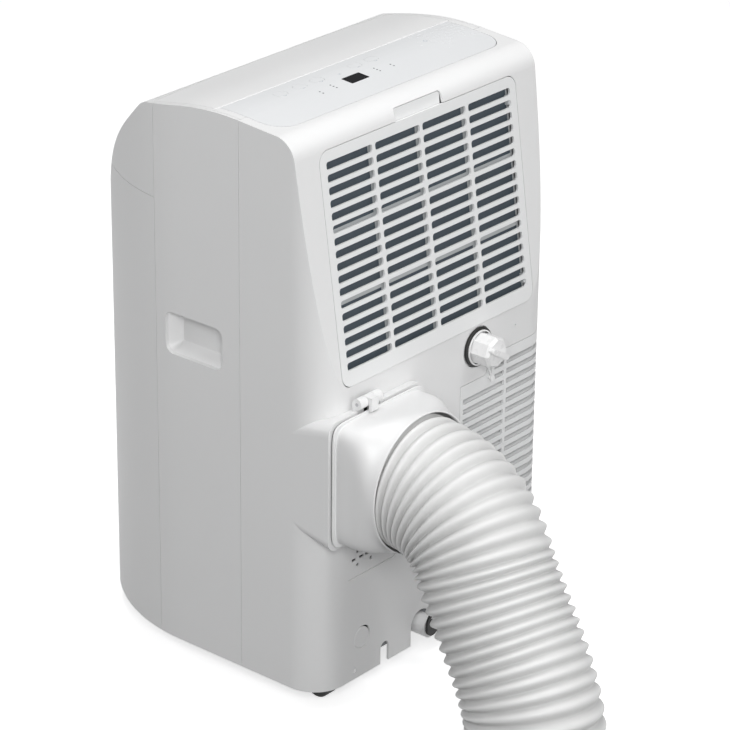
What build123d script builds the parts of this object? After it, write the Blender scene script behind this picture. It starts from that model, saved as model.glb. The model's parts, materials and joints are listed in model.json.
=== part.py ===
from build123d import *
from math import cos, pi, radians, sin, tan
import os

# Portable air conditioner on castors, with its exhaust duct fitted.
# Millimetres, +Z up, front towards -Y, floor at z = 0.

# ---- overall sizes -------------------------------------------------------
width = 449.5
depth = 412.0
height = 749.0
back_y = 188.0
front_y = back_y - depth
skirt_z = 28.0

# ---- casing walls and joints between panels ------------------------------
wall = 3.0
seam = 0.7
clearance = 0.8
lap = 2.5
lap_inset = 1.3
lap_gap = 0.3
side_x = width / 2
front_seam_y = back_y - 264.0
rear_seam_y = back_y - 125.5
front_split_z = height - 133.0

# ---- casing plan: flat front, two sweeps into each side, rounded rear ----
front_corner_r = 45.0
front_corner_turn = 48.0
side_sweep_r = 250.0
rear_corner_r = 45.0

# ---- casing profile ------------------------------------------------------
front_lead = 7.0
front_bend_z = height - 145.7
brow_y = front_y + 127.0
brow_z = height - 18.0
crown_y = 12.8
crown_z = height + 3.0
tilt = 8.0
tilt_foot_z = height - 311.7
rear_brow_z = height - 7.6
top_base_z = height - 111.5

# ---- top: outlet flap and control panel ----------------------------------
lip = 4.0
flap_half = side_x - 10.0
flap_front_y = front_y + 132.0
flap_bow = 11.0
split_y = back_y - 168.0
flap_bead_r = 2.4
hinge_pin_r = 1.6
running = 0.06
panel_half = side_x - 15.5
panel_rear_y = back_y - 73.0
panel_corner_r = 32.0
key_row_y = split_y + 21.0
key_x = (127.0, 93.0, 62.0, -7.0, -38.0)
key_size = (18.0, 12.0)
key_travel = 0.6
display_x = 23.0
display_y = split_y + 48.0
display_size = (32.0, 18.0)
lamp_offsets = ((40.0, -5.0), (40.0, 0.0), (40.0, 5.0), (65.0, 0.0), (65.0, 5.5))
lamp_r = 1.1

# ---- rear filter grille on the tilted face -------------------------------
grille_half = 183.0
grille_foot_z = tilt_foot_z - 7.3
grille_rise = 290.0
grille_corner_r = 16.0
slot_pitch_x = 87.2
slot_pitch_v = 15.4
slot_size = (81.9, 9.8)
slot_rows = 17
notch_half = 44.0
notch_rise = 22.0
notch_lift = 5.0

# ---- exhaust duct connection ---------------------------------------------
duct_x = side_x - 89.5
duct_z = tilt_foot_z - 119.3
socket_size = (175.0, 169.0)
socket_corner_r = 15.0
socket_y = back_y + 14.0
socket_plate = 4.0
air_r = 76.0
connector_reach = 70.0
mouth_r = 87.0
latch_x = duct_x + 16.0
latch_pin_r = 2.2
knuckle = 13.0
knuckle_r = 7.0
knuckle_gap = 0.5
knuckle_root = 8.0
latch_y = socket_y - 2.0
latch_z = duct_z + socket_size[1] / 2 + knuckle_r + 1.0
collar_r = 82.6
hose_r = 82.0
hose_wall = 1.2
cuff_r = 85.0
cuff_height = 22.0

# route of the duct's centre line, from the collar to the cuff on the floor
hose_route = [
    (duct_x, socket_y + 40.0, duct_z),
    (duct_x, socket_y + 95.0, duct_z),
    (duct_x + 4.8, socket_y + 154.0, duct_z - 31.0),
    (duct_x + 14.8, socket_y + 196.0, duct_z - 105.0),
    (duct_x + 28.8, socket_y + 272.0, 100.0),
    (duct_x + 28.8, socket_y + 272.0, cuff_height),
]

# ---- drains ---------------------------------------------------------------
drain_x = -side_x + 152.0
drain_z = tilt_foot_z - 37.3
drain_bore_r = 8.0
drain_spout_r = 11.0
drain_flange_r = 26.2
cap_r = 19.0
cap_reach = 32.0
cap_grip = (36.0, 9.0, 7.0)
cap_grip_turn = 30.0
strap_width = 1.8
low_drain_x = 29.0
low_drain_z = skirt_z + 26.0
low_spout_r = 14.0
low_bore_r = 8.5

# ---- lower grille, plug parking, base -------------------------------------
low_grille_x = -side_x + 184.0
low_grille_step_x = -side_x + 122.0
low_grille_z = (skirt_z + 36.0, tilt_foot_z - 82.0)
low_grille_step = 23.0
low_grille_front_y = back_y - 62.0
low_pitch = 13.6
low_slot = 7.0
bar_x = -side_x + 94.0
parking_size = (92.0, 60.0)
parking_x = duct_x - 9.0
parking_z = skirt_z + 172.0
sensor_hole = (drain_x - 75.8, drain_z + 4.0, 1.3)
screw_hole = (duct_x + 21.8, skirt_z + 13.0, 3.5)
screw_recess = 1.6
cover_x = duct_x + 8.4
cover_z = skirt_z + 53.7
cover_r = 14.0
cover_notch = 1.6
pan_floor = 3.0
pan_rim = 20.0

# ---- castors ---------------------------------------------------------------
wheel_r = 19.0
wheel_width = 22.0
axle_r = 2.5
castor_trail = 11.0
stem_r = 4.0
pan_z = wheel_r + 29.0
castor_places = {
    "front_right": (150.0, front_y + 82.0),
    "front_left": (-150.0, front_y + 82.0),
    "rear_right": (side_x - 52.0, back_y - 50.0),
    "rear_left": (-side_x + 52.0, back_y - 50.0),
}

# ---- handle recess in each side panel --------------------------------------
handle_y = (front_seam_y + 17.0, rear_seam_y - 28.0)
handle_z = (tilt_foot_z - 16.5, tilt_foot_z + 38.0)
handle_depth = 20.0

# ---- inside ----------------------------------------------------------------
divider_z = tilt_foot_z - 34.0
divider_plate = 3.0
outlet_size = (400.0, 88.0)
outlet_y = split_y - 58.0
outlet_z = (height - 110.0, height - 30.0)
vane_x = (-144.0, -48.0, 48.0, 144.0)
vane_size = (2.0, 70.0, 46.0)
vane_pin_r = 2.0
vane_pivot_z = outlet_z[1] - 34.0
link_arm = 24.0
link_pin_r = 1.5
upper_fan = (0.0, 10.0, tilt_foot_z + 98.0)
upper_fan_r = 80.0
upper_scroll_r = 96.0
lower_fan = (duct_x, 42.0, duct_z - 16.0)
lower_fan_r = 72.0
lower_scroll_r = 92.0
shaft_r = 4.0
scroll_wall = 2.5
compressor_r = 60.0
compressor_height = 225.0
compressor_at = (-62.0, front_y + 118.0)

os.makedirs("parts", exist_ok=True)


def save(piece, name):
    piece.part.label = name
    export_step(piece.part, f"parts/{name}.step")


# The tilted rear face: local x runs towards -X, local y up the slope.
tilt_normal = (0, cos(radians(tilt)), sin(radians(tilt)))
tilt_foot = Plane(origin=(0, back_y, tilt_foot_z), x_dir=(-1, 0, 0), z_dir=tilt_normal)
slope_per_z = 1 / cos(radians(tilt))
grille_mid = (grille_foot_z - tilt_foot_z) * slope_per_z + grille_rise / 2


def tilt_plane(inward):
    return tilt_foot.offset(-inward)


def plan_outline(inset):
    """Casing seen from above, offset inwards."""
    sweep_turn = 90 - front_corner_turn
    turn = radians(front_corner_turn)
    flat_half = side_x - front_corner_r * sin(turn) - side_sweep_r * (1 - sin(turn))
    with BuildSketch() as plan:
        with BuildLine():
            front = Line((0, front_y), (flat_half, front_y))
            corner = JernArc(front @ 1, front % 1, front_corner_r, front_corner_turn)
            sweep_in = JernArc(corner @ 1, corner % 1, side_sweep_r, sweep_turn)
            side = Line(sweep_in @ 1, (side_x, back_y - rear_corner_r))
            rear = JernArc(side @ 1, (0, 1), rear_corner_r, 90)
            Line(rear @ 1, (0, back_y))
            mirror(about=Plane.YZ)
        make_face()
        if inset:
            offset(amount=-inset)
    return plan.sketch


def profile_outline(inset):
    """Casing seen from the side: upright front, rounded brow, crowned top, tilted back."""
    rear_brow_y = back_y - (rear_brow_z - tilt_foot_z) * tan(radians(tilt))
    with BuildSketch() as profile:
        with BuildLine():
            shape = FilletPolyline(
                (front_y - front_lead, skirt_z),
                (front_y - front_lead, front_bend_z),
                (brow_y, brow_z),
                (crown_y, crown_z),
                (rear_brow_y, rear_brow_z),
                (back_y, tilt_foot_z),
                (back_y, skirt_z),
                radius=[300, 30, 380, 30, 150],
            )
            Line(shape @ 1, shape @ 0)
        make_face()
        if inset:
            offset(amount=-inset)
    return profile.sketch


def casing_block(inset):
    """The casing's full solid, with its faces moved inwards."""
    with BuildPart() as block:
        with BuildSketch(Plane.XY.offset(skirt_z)):
            add(plan_outline(inset))
        extrude(amount=height)
        with BuildSketch(Plane.YZ):
            add(profile_outline(inset))
        extrude(amount=width, both=True, mode=Mode.INTERSECT)
    return block.part


def slab(low, high):
    """A plain block from its lowest to its highest corner."""
    size = [b - a for a, b in zip(low, high)]
    middle = [(a + b) / 2 for a, b in zip(low, high)]
    return Pos(*middle) * Box(*size, mode=Mode.PRIVATE)


def rod(start, direction, radius, length):
    """A round bar from its start point along a direction."""
    bar = Cylinder(radius, length, align=(Align.CENTER, Align.CENTER, Align.MIN), mode=Mode.PRIVATE)
    return Plane(origin=start, z_dir=direction) * bar


outer_block = casing_block(0)
inner_block = casing_block(wall)
with BuildPart() as shell_builder:
    add(outer_block)
    add(inner_block, mode=Mode.SUBTRACT)
    with BuildSketch(Plane.XY.offset(skirt_z - 1)):
        add(plan_outline(wall))
    extrude(amount=wall + 2, mode=Mode.SUBTRACT)
casing_wall = shell_builder.part

# tongues stand behind each seam between panels, in a rebate of the neighbouring panel
with BuildPart() as lap_builder:
    add(casing_wall)
    add(casing_block(lap_inset), mode=Mode.INTERSECT)
lap_wall = lap_builder.part
with BuildPart() as rebate_builder:
    add(casing_wall)
    add(casing_block(lap_inset - lap_gap), mode=Mode.INTERSECT)
rebate_wall = rebate_builder.part

far = width + depth + height
half_seam = seam / 2


def flap_outline(grow):
    """Outlet flap seen from above, with a bowed front edge."""
    half = flap_half + grow
    ends_y = flap_front_y + flap_bow - grow
    with BuildSketch() as plan:
        with BuildLine():
            bow = ThreePointArc((-half, ends_y), (0, flap_front_y - grow), (half, ends_y))
            rear_y = split_y - clearance + grow
            Polyline(bow @ 1, (half, rear_y), (-half, rear_y), bow @ 0)
        make_face()
    return plan.sketch


def panel_outline(grow):
    """Control panel seen from above, with large rear corners."""
    with BuildSketch() as plan:
        with Locations((0, (split_y + panel_rear_y) / 2)):
            Rectangle(2 * (panel_half + grow), panel_rear_y - split_y + 2 * grow)
        rear_corners = plan.vertices().group_by(Axis.Y)[-1]
        fillet(rear_corners, panel_corner_r)
    return plan.sketch


def grille_outline(grow):
    """Filter grille's frame on the tilted face."""
    with BuildSketch() as frame:
        with Locations((0, grille_mid)):
            RectangleRounded(
                2 * (grille_half + grow), grille_rise + 2 * grow, grille_corner_r
            )
    return frame.sketch


def low_grille_outline(grow):
    """Lower grille seen from behind: an L whose outer column stands higher."""
    low, high = low_grille_z
    with BuildSketch(Plane.XZ) as area:
        with BuildLine():
            Polyline(
                (low_grille_x + grow, low - grow),
                (low_grille_x + grow, high + grow),
                (low_grille_step_x + 14 + grow, high + grow),
                (low_grille_step_x + grow, high + low_grille_step + grow),
                (-side_x - 5, high + low_grille_step + grow),
                (-side_x - 5, low - grow),
                close=True,
            )
        make_face()
    return area.sketch


def wall_band(layer, low, high):
    """The piece of a wall layer between two corners."""
    with BuildPart() as band:
        add(layer)
        add(slab(low, high), mode=Mode.INTERSECT)
    return band.part


front_tongue = (far, front_seam_y + lap, far)
front_rebate = (far, front_seam_y + lap + lap_gap, far)
rear_rebate = (-far, rear_seam_y - lap - lap_gap, 0)

# ---- casing panels -----------------------------------------------------------
with BuildPart() as front_lower_panel:
    add(casing_wall)
    lower_corner = (far, front_seam_y - half_seam, front_split_z - half_seam)
    add(slab((-far, -far, 0), lower_corner), mode=Mode.INTERSECT)
    side_tongue = (far, front_seam_y + lap, front_split_z - half_seam)
    add(wall_band(lap_wall, (-far, front_seam_y - 1, 0), side_tongue))
    split_tongue = (far, front_seam_y - half_seam, front_split_z + lap)
    add(wall_band(lap_wall, (-far, -far, front_split_z - 1), split_tongue))
save(front_lower_panel, "front_lower_panel")

with BuildPart() as front_upper_panel:
    add(casing_wall)
    upper_corner = (-far, -far, front_split_z + half_seam)
    add(slab(upper_corner, (far, front_seam_y - half_seam, far)), mode=Mode.INTERSECT)
    split_rebate_z = front_split_z + lap + lap_gap
    split_rebate = wall_band(rebate_wall, (-far, -far, front_split_z), (far, front_seam_y, split_rebate_z))
    add(split_rebate, mode=Mode.SUBTRACT)
    add(wall_band(lap_wall, (-far, front_seam_y - 1, split_rebate_z), front_tongue))
    with BuildSketch(Plane.XY.offset(top_base_z)):
        add(flap_outline(clearance))
    extrude(amount=far, mode=Mode.SUBTRACT)
save(front_upper_panel, "front_upper_panel")

handle_low = (side_x - handle_depth, handle_y[0], handle_z[0])
handle_high = (side_x + 5, handle_y[1], handle_z[1])
cup_wall = 2.5
with BuildPart() as handle_cup:
    with BuildSketch(Plane.YZ.offset(side_x - handle_depth - cup_wall)):
        with Locations(((handle_y[0] + handle_y[1]) / 2, (handle_z[0] + handle_z[1]) / 2)):
            RectangleRounded(
                handle_y[1] - handle_y[0] + 2 * cup_wall,
                handle_z[1] - handle_z[0] + 2 * cup_wall,
                14,
            )
    extrude(amount=handle_depth)
with BuildPart() as handle_void:
    with BuildSketch(Plane.YZ.offset(side_x + 1)):
        with Locations(((handle_y[0] + handle_y[1]) / 2, (handle_z[0] + handle_z[1]) / 2)):
            RectangleRounded(handle_y[1] - handle_y[0], handle_z[1] - handle_z[0], 12)
    extrude(amount=-(handle_depth + 1))
    floor_edge = handle_void.edges().filter_by(Axis.Y).group_by(Axis.X)[0].sort_by(Axis.Z)[0]
    chamfer(floor_edge, length=handle_depth - 6, length2=12)

with BuildPart() as duct_side_panel:
    add(casing_wall)
    panel_low = (side_x - lip, front_seam_y + half_seam, 0)
    add(slab(panel_low, (far, rear_seam_y - half_seam, far)), mode=Mode.INTERSECT)
    add(handle_cup.part)
    add(handle_void.part, mode=Mode.SUBTRACT)
    add(wall_band(rebate_wall, (-far, front_seam_y, 0), front_rebate), mode=Mode.SUBTRACT)
    add(wall_band(rebate_wall, rear_rebate, (far, rear_seam_y, far)), mode=Mode.SUBTRACT)
save(duct_side_panel, "duct_side_panel")

with BuildPart() as drain_side_panel:
    add(mirror(duct_side_panel.part, about=Plane.YZ))
save(drain_side_panel, "drain_side_panel")

# ---- rear shell ----------------------------------------------------------------
boss_x = duct_x - socket_size[0] / 2
boss_top = duct_z + socket_size[1] / 2
boss_foot = duct_z - socket_size[1] / 2
knuckle_reach = 1.5 * knuckle + knuckle_gap
with BuildPart() as boss:
    with BuildSketch(Plane.YZ.offset(boss_x)):
        with BuildLine():
            Polyline(
                (back_y - 50, boss_top - 14),
                (socket_y, boss_top),
                (socket_y, boss_foot),
                (back_y - 42, boss_foot + 11),
                close=True,
            )
        make_face()
    extrude(amount=side_x - boss_x)
    long_edges = boss.edges().filter_by(GeomType.LINE)
    corner_edges = long_edges.filter_by(lambda e: abs((e % 0.5).Y) > 0.9)
    fillet(corner_edges, socket_corner_r)
    add(inner_block, mode=Mode.SUBTRACT)
with BuildPart() as boss_hollow:
    with BuildSketch(Plane.XZ.offset(-back_y)):
        with Locations((duct_x, duct_z)):
            RectangleRounded(socket_size[0] - 12, socket_size[1] - 12, socket_corner_r - 4)
    extrude(amount=back_y - socket_y - 1)

slots_low, slots_high = low_grille_z
with BuildPart() as rear_shell:
    add(casing_wall)
    add(slab((-far, rear_seam_y + half_seam, 0), (far, far, far)), mode=Mode.INTERSECT)
    add(wall_band(lap_wall, (-far, rear_seam_y - lap, 0), (far, rear_seam_y + 1, far)))
    add(boss.part)
    add(boss_hollow.part, mode=Mode.SUBTRACT)
    notch_low = (latch_x - knuckle_reach - seam, latch_y - knuckle_r - seam, boss_top - knuckle_root)
    add(slab(notch_low, (latch_x + knuckle_reach + seam, socket_y + 1, boss_top + 1)), mode=Mode.SUBTRACT)
    with BuildSketch(Plane.XY.offset(height - 60)):
        add(panel_outline(seam))
    extrude(amount=far, mode=Mode.SUBTRACT)
    with BuildSketch(tilt_plane(12)):
        add(grille_outline(clearance))
    extrude(amount=40, mode=Mode.SUBTRACT)
    with BuildSketch(tilt_plane(12)):
        with Locations((0, grille_mid + grille_rise / 2 + notch_lift)):
            RectangleRounded(2 * notch_half, notch_rise, 4)
    extrude(amount=40, mode=Mode.SUBTRACT)
    with BuildSketch(Plane.XZ.offset(-far)):
        add(low_grille_outline(half_seam))
    extrude(amount=far - low_grille_front_y + half_seam, mode=Mode.SUBTRACT)
    with BuildSketch(Plane.XZ.offset(-back_y - 1)):
        with Locations((drain_x, drain_z)):
            Circle(drain_flange_r + clearance)
        with Locations((duct_x, duct_z)):
            Circle(air_r)
        with Locations((cover_x, cover_z)):
            Circle(cover_r + half_seam)
        with Locations((cover_x - cover_notch, cover_z + cover_notch)):
            Circle(cover_r)
        with Locations(sensor_hole[:2]):
            Circle(sensor_hole[2])
        with Locations((duct_x - 36, skirt_z + 10)):
            SlotOverall(38, 15.5, rotation=90)
        with Locations((low_drain_x, low_drain_z)):
            Circle(low_spout_r + 5)
        with Locations((low_drain_x - 4, skirt_z + 8)):
            Rectangle(2 * low_spout_r + 18, 26)
        with Locations((boss_x / 2 - side_x / 2 + 12, skirt_z)):
            Rectangle(side_x + boss_x - 24, 12)
    extrude(amount=wall + 2, mode=Mode.SUBTRACT)
    with BuildSketch(Plane.XZ.offset(-back_y - 1)):
        with Locations((parking_x, parking_z)):
            RectangleRounded(parking_size[0] + seam, parking_size[1] + seam, 6)
    extrude(amount=wall + 2, mode=Mode.SUBTRACT)
    with BuildSketch(Plane.XZ.offset(-back_y - 1)):
        with Locations(screw_hole[:2]):
            Circle(screw_hole[2])
    extrude(amount=screw_recess + 1, mode=Mode.SUBTRACT)
save(rear_shell, "rear_shell")

# ---- lower grille: condenser air intake round the rear corner -------------------
with BuildPart() as grille_band:
    add(casing_wall)
    with BuildSketch(Plane.XZ.offset(-far)):
        add(low_grille_outline(-half_seam))
    extrude(amount=far - low_grille_front_y - half_seam, mode=Mode.INTERSECT)
row_count = int((slots_high - slots_low - 8) / low_pitch)
step_rows = int(low_grille_step / low_pitch) + 1
with BuildPart() as low_slots:
    for row in range(row_count + step_rows):
        row_z = slots_low + 10 + row * low_pitch
        inner_x = low_grille_x - 6 if row < row_count else low_grille_step_x - 6
        for left, right in ((-side_x - 5, bar_x - 2.5), (bar_x + 2.5, inner_x)):
            if right - left > low_slot:
                middle = ((left + right) / 2, low_grille_front_y + 6 + far / 2, row_z)
                with Locations(middle):
                    Box(right - left, far, low_slot)
with BuildPart() as lower_grille:
    add(grille_band.part)
    add(low_slots.part, mode=Mode.SUBTRACT)
save(lower_grille, "lower_grille")

# ---- top surround: side strips, cheeks for the flap pins, bar under the split ----
hinge_y = split_y - clearance - flap_bead_r


def top_z(y):
    """Height of the crowned top at the centre, by probing the casing's solid."""
    probe = outer_block.intersect(Edge.make_line((0, y, top_base_z), (0, y, far)))
    return probe.edges().sort_by(Axis.Z)[-1].bounding_box().max.Z


hinge_z = top_z(hinge_y) - flap_bead_r
strip_in = flap_half + clearance
strip_out = side_x - lip - seam
bar_z = hinge_z - flap_bead_r - 3.0
with BuildPart() as cheek:
    add(inner_block)
    cheek_low = (strip_in, split_y - 80, bar_z - 8)
    add(slab(cheek_low, (strip_out, rear_seam_y - half_seam, height)), mode=Mode.INTERSECT)
with BuildPart() as top_surround:
    add(casing_wall)
    surround_low = (-strip_out, front_seam_y + half_seam, top_base_z)
    add(slab(surround_low, (strip_out, rear_seam_y - half_seam, far)), mode=Mode.INTERSECT)
    with BuildSketch(Plane.XY.offset(top_base_z)):
        add(flap_outline(clearance))
        add(panel_outline(seam))
    extrude(amount=far, mode=Mode.SUBTRACT)
    add(wall_band(rebate_wall, (-far, front_seam_y, 0), front_rebate), mode=Mode.SUBTRACT)
    add(wall_band(rebate_wall, rear_rebate, (far, rear_seam_y, far)), mode=Mode.SUBTRACT)
    add(cheek.part)
    add(mirror(cheek.part, about=Plane.YZ, mode=Mode.PRIVATE))
    with Locations((0, split_y + 10, bar_z - 5)):
        Box(2 * strip_in + 2, 12, 6)
    for side in (-1, 1):
        bore_start = (side * (flap_half - 3), hinge_y, hinge_z)
        add(rod(bore_start, (side, 0, 0), hinge_pin_r + running, 8), mode=Mode.SUBTRACT)
save(top_surround, "top_surround")

# ---- outlet flap with its moulded hinge bead and pins ------------------------------
with BuildPart() as outlet_flap:
    add(casing_wall)
    with BuildSketch(Plane.XY.offset(top_base_z)):
        add(flap_outline(0))
    extrude(amount=far, mode=Mode.INTERSECT)
    add(slab((-far, hinge_y, top_base_z), (far, far, far)), mode=Mode.SUBTRACT)
    add(rod((-flap_half, hinge_y, hinge_z), (1, 0, 0), flap_bead_r, 2 * flap_half))
    for side in (-1, 1):
        add(rod((side * flap_half, hinge_y, hinge_z), (side, 0, 0), hinge_pin_r, clearance + 3.4))
save(outlet_flap, "outlet_flap")

# ---- control panel, its window, keys, lamps and board --------------------------------
key_gap = 0.3
window_z = top_z(display_y) - 2.0
board_z = height - 17.0


def key_outline(grow):
    with BuildSketch() as plan:
        RectangleRounded(key_size[0] + 2 * grow, key_size[1] + 2 * grow, 4)
    return plan.sketch


lamp_places = [(display_x + side * dx, display_y + dy) for side in (-1, 1) for dx, dy in lamp_offsets]
with BuildPart() as control_panel:
    add(casing_wall)
    with BuildSketch(Plane.XY.offset(top_base_z)):
        add(panel_outline(0))
    extrude(amount=far, mode=Mode.INTERSECT)
    with BuildSketch(Plane.XY.offset(top_base_z)):
        with Locations(*[(x, key_row_y) for x in key_x]):
            add(key_outline(key_gap))
        with Locations((display_x, display_y)):
            RectangleRounded(display_size[0] + key_gap, display_size[1] + key_gap, 1.5)
        with Locations(*lamp_places):
            Circle(lamp_r + 0.1)
    extrude(amount=far, mode=Mode.SUBTRACT)
    with Locations(*[(display_x + side * 105, display_y - 12, board_z + 8) for side in (-1, 1)]):
        Cylinder(3, 16)
save(control_panel, "control_panel")

with BuildPart() as display_window:
    with BuildSketch(Plane.XY.offset(window_z - 2)):
        with Locations((display_x, display_y)):
            RectangleRounded(display_size[0], display_size[1], 1.4)
    extrude(amount=far)
    add(outer_block, mode=Mode.INTERSECT)
    with Locations((display_x, display_y, window_z - 3.6)):
        Box(display_size[0] + 6, display_size[1] + 6, 3.2)
save(display_window, "display_window")

for number, x in enumerate(key_x, start=1):
    with BuildPart() as key:
        with BuildSketch(Plane.XY.offset(height - 8)):
            with Locations((x, key_row_y)):
                add(key_outline(0))
        extrude(amount=far)
        add(outer_block, mode=Mode.INTERSECT)
        with BuildSketch(Plane.XY.offset(board_z + 0.8 + key_travel + 0.6)):
            with Locations((x, key_row_y)):
                Circle(2.5)
        extrude(amount=height - 7 - (board_z + 1.4 + key_travel))
    save(key, f"key_{number}")

with BuildPart() as indicator_lamps:
    with BuildSketch(Plane.XY.offset(board_z + 1)):
        with Locations(*lamp_places):
            Circle(lamp_r)
    extrude(amount=far)
    add(outer_block, mode=Mode.INTERSECT)
save(indicator_lamps, "indicator_lamps")

with BuildPart() as control_board:
    with Locations((display_x, (key_row_y + display_y) / 2 + 2, board_z - 0.8)):
        Box(250, 52, 1.6)
    with Locations(*[(x, key_row_y, board_z + 0.3) for x in key_x]):
        Box(6, 6, 0.9)
    with Locations((display_x, display_y, (board_z + window_z - 5.4) / 2)):
        Box(display_size[0], display_size[1], window_z - 5.4 - board_z)
save(control_board, "control_board")

# ---- filter grille and filter ----------------------------------------------------------
with BuildPart() as filter_grille:
    with BuildSketch(tilt_plane(wall)):
        add(grille_outline(0))
        with Locations((0, grille_mid + 3)):
            with GridLocations(slot_pitch_x, slot_pitch_v, 4, slot_rows):
                RectangleRounded(slot_size[0], slot_size[1], 3.4, mode=Mode.SUBTRACT)
    extrude(amount=wall)
    with BuildSketch(tilt_plane(wall + 4)):
        with Locations((0, grille_mid + grille_rise / 2 + notch_lift - clearance)):
            RectangleRounded(2 * (notch_half - clearance), notch_rise, 4)
    extrude(amount=2.5)
    with BuildSketch(tilt_plane(wall + 4)):
        with Locations((0, grille_mid + grille_rise / 2 - 5)):
            Rectangle(2 * notch_half - 12, 5)
    extrude(amount=5)
save(filter_grille, "filter_grille")

filter_gap = 4.6
with BuildPart() as filter_mesh:
    with BuildSketch(tilt_plane(wall + filter_gap + 2)):
        with Locations((0, grille_mid)):
            Rectangle(2 * grille_half - 16, grille_rise - 26)
            with GridLocations(slot_pitch_x, (grille_rise - 26) / 3, 4, 3):
                Rectangle(slot_pitch_x - 5, (grille_rise - 26) / 3 - 5, mode=Mode.SUBTRACT)
    extrude(amount=2)
    with BuildSketch(tilt_plane(wall + filter_gap + 1.3)):
        with Locations((0, grille_mid)):
            Rectangle(2 * grille_half - 17, grille_rise - 27)
    extrude(amount=0.6)
    with BuildSketch(tilt_plane(wall + filter_gap)):
        with Locations((0, grille_mid)):
            with GridLocations(2 * grille_half - 22, grille_rise - 60, 2, 2):
                Rectangle(6, 12)
    extrude(amount=filter_gap)
save(filter_mesh, "filter_mesh")

# ---- heat exchangers ---------------------------------------------------------------------
coil_deep = 26.0
coil_inset = wall + 46.0
coil_x = -18.0
coil_half = 148.0
with BuildPart() as evaporator:
    with BuildSketch(tilt_plane(coil_inset)):
        with Locations((coil_x, grille_mid)):
            Rectangle(2 * coil_half, grille_rise - 50)
    extrude(amount=coil_deep)
    with BuildSketch(tilt_plane(coil_inset + 1)):
        with Locations((coil_x - coil_half - 1.5, grille_mid), (coil_x + coil_half + 1.5, grille_mid)):
            Rectangle(3, grille_rise - 44)
    extrude(amount=coil_deep + 2)
save(evaporator, "evaporator")

condenser_low = (-side_x + 26.0, back_y - 48.0, pan_z + pan_rim)
condenser_high = (low_grille_x + 14.0, back_y - 18.0, divider_z - 16)
with BuildPart() as condenser:
    add(slab(condenser_low, condenser_high))
    for end_x in (condenser_low[0] - 3, condenser_high[0]):
        end_low = (end_x, condenser_low[1] + 2, condenser_low[2])
        add(slab(end_low, (end_x + 3, condenser_high[1] - 4, condenser_high[2] + 3)))
save(condenser, "condenser")

# ---- base pan and divider tray ----------------------------------------------------------------
with BuildPart() as base_pan:
    with BuildSketch(Plane.XY.offset(pan_z)):
        add(plan_outline(wall + 1))
    extrude(amount=pan_rim)
    with BuildSketch(Plane.XY.offset(pan_z + pan_floor)):
        add(plan_outline(wall + 4))
    extrude(amount=pan_rim, mode=Mode.SUBTRACT)
    with BuildSketch(Plane.XY.offset(pan_z)):
        with Locations(*castor_places.values()):
            Circle(11)
    extrude(amount=18)
    with BuildSketch(Plane.XY.offset(pan_z)):
        with Locations(*castor_places.values()):
            Circle(stem_r + running)
    extrude(amount=14, mode=Mode.SUBTRACT)
    add(rod((low_drain_x, back_y - 34, low_drain_z), (0, 1, 0), low_spout_r + 0.4, 40), mode=Mode.SUBTRACT)
save(base_pan, "base_pan")

pipe_hole = (compressor_at[0] - 30, compressor_at[1] + 60)
with BuildPart() as divider_tray:
    with BuildSketch(Plane.XY.offset(divider_z)):
        add(plan_outline(wall + 1))
    extrude(amount=9)
    with BuildSketch(Plane.XY.offset(divider_z + divider_plate)):
        add(plan_outline(wall + 3.5))
    extrude(amount=9, mode=Mode.SUBTRACT)
    with BuildSketch(Plane.XY.offset(divider_z)):
        with Locations(pipe_hole):
            Circle(9)
    extrude(amount=12, mode=Mode.SUBTRACT)
    gap_low = (drain_x - 34, back_y - wall - 12, divider_z - 1)
    add(slab(gap_low, (drain_x + 34, back_y, divider_z + 12)), mode=Mode.SUBTRACT)
save(divider_tray, "divider_tray")

# ---- compressor and pipes -------------------------------------------------------------------------
cx, cy = compressor_at
compressor_z = pan_z + pan_floor + 9
with BuildPart() as compressor:
    with BuildSketch(Plane.XY.offset(compressor_z)):
        with Locations((cx, cy)):
            Circle(compressor_r)
    extrude(amount=compressor_height)
    fillet(compressor.edges().group_by(Axis.Z)[-1], 28)
    fillet(compressor.edges().group_by(Axis.Z)[0], 12)
    with BuildSketch(Plane.XY.offset(compressor_z)):
        with Locations((cx, cy)):
            RectangleRounded(140, 140, 18)
    extrude(amount=4)
    with BuildSketch(Plane.XY.offset(pan_z + pan_floor)):
        with Locations((cx, cy)):
            with GridLocations(112, 112, 2, 2):
                Circle(9)
    extrude(amount=9)
    add(rod((cx, cy, compressor_z - 1), (0, 0, 1), 8, 30), mode=Mode.SUBTRACT)
    can_floor = (cx, cy, compressor_z + 16)
    add(rod(can_floor, (0, 0, 1), compressor_r - 14, compressor_height - 44), mode=Mode.SUBTRACT)
save(compressor, "compressor")

pipe_r = 5.0
compressor_top = compressor_z + compressor_height
suction_route = [
    (cx - 18, cy, compressor_top),
    (cx - 18, cy, compressor_top + 30),
    (pipe_hole[0], pipe_hole[1], compressor_top + 30),
    (pipe_hole[0], pipe_hole[1], divider_z + 40),
    (pipe_hole[0] - 50, pipe_hole[1], divider_z + 40),
]
discharge_route = [
    (cx + 20, cy + 20, compressor_top),
    (cx + 20, cy + 20, compressor_top + 20),
    (cx + 20, condenser_low[1], compressor_top + 20),
]
with BuildPart() as refrigerant_pipes:
    for route in (suction_route, discharge_route):
        with BuildLine():
            run = FilletPolyline(*route, radius=14)
        with BuildSketch(Plane(origin=run @ 0, z_dir=run % 0)):
            Circle(pipe_r)
        sweep(path=run)
save(refrigerant_pipes, "refrigerant_pipes")

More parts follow.
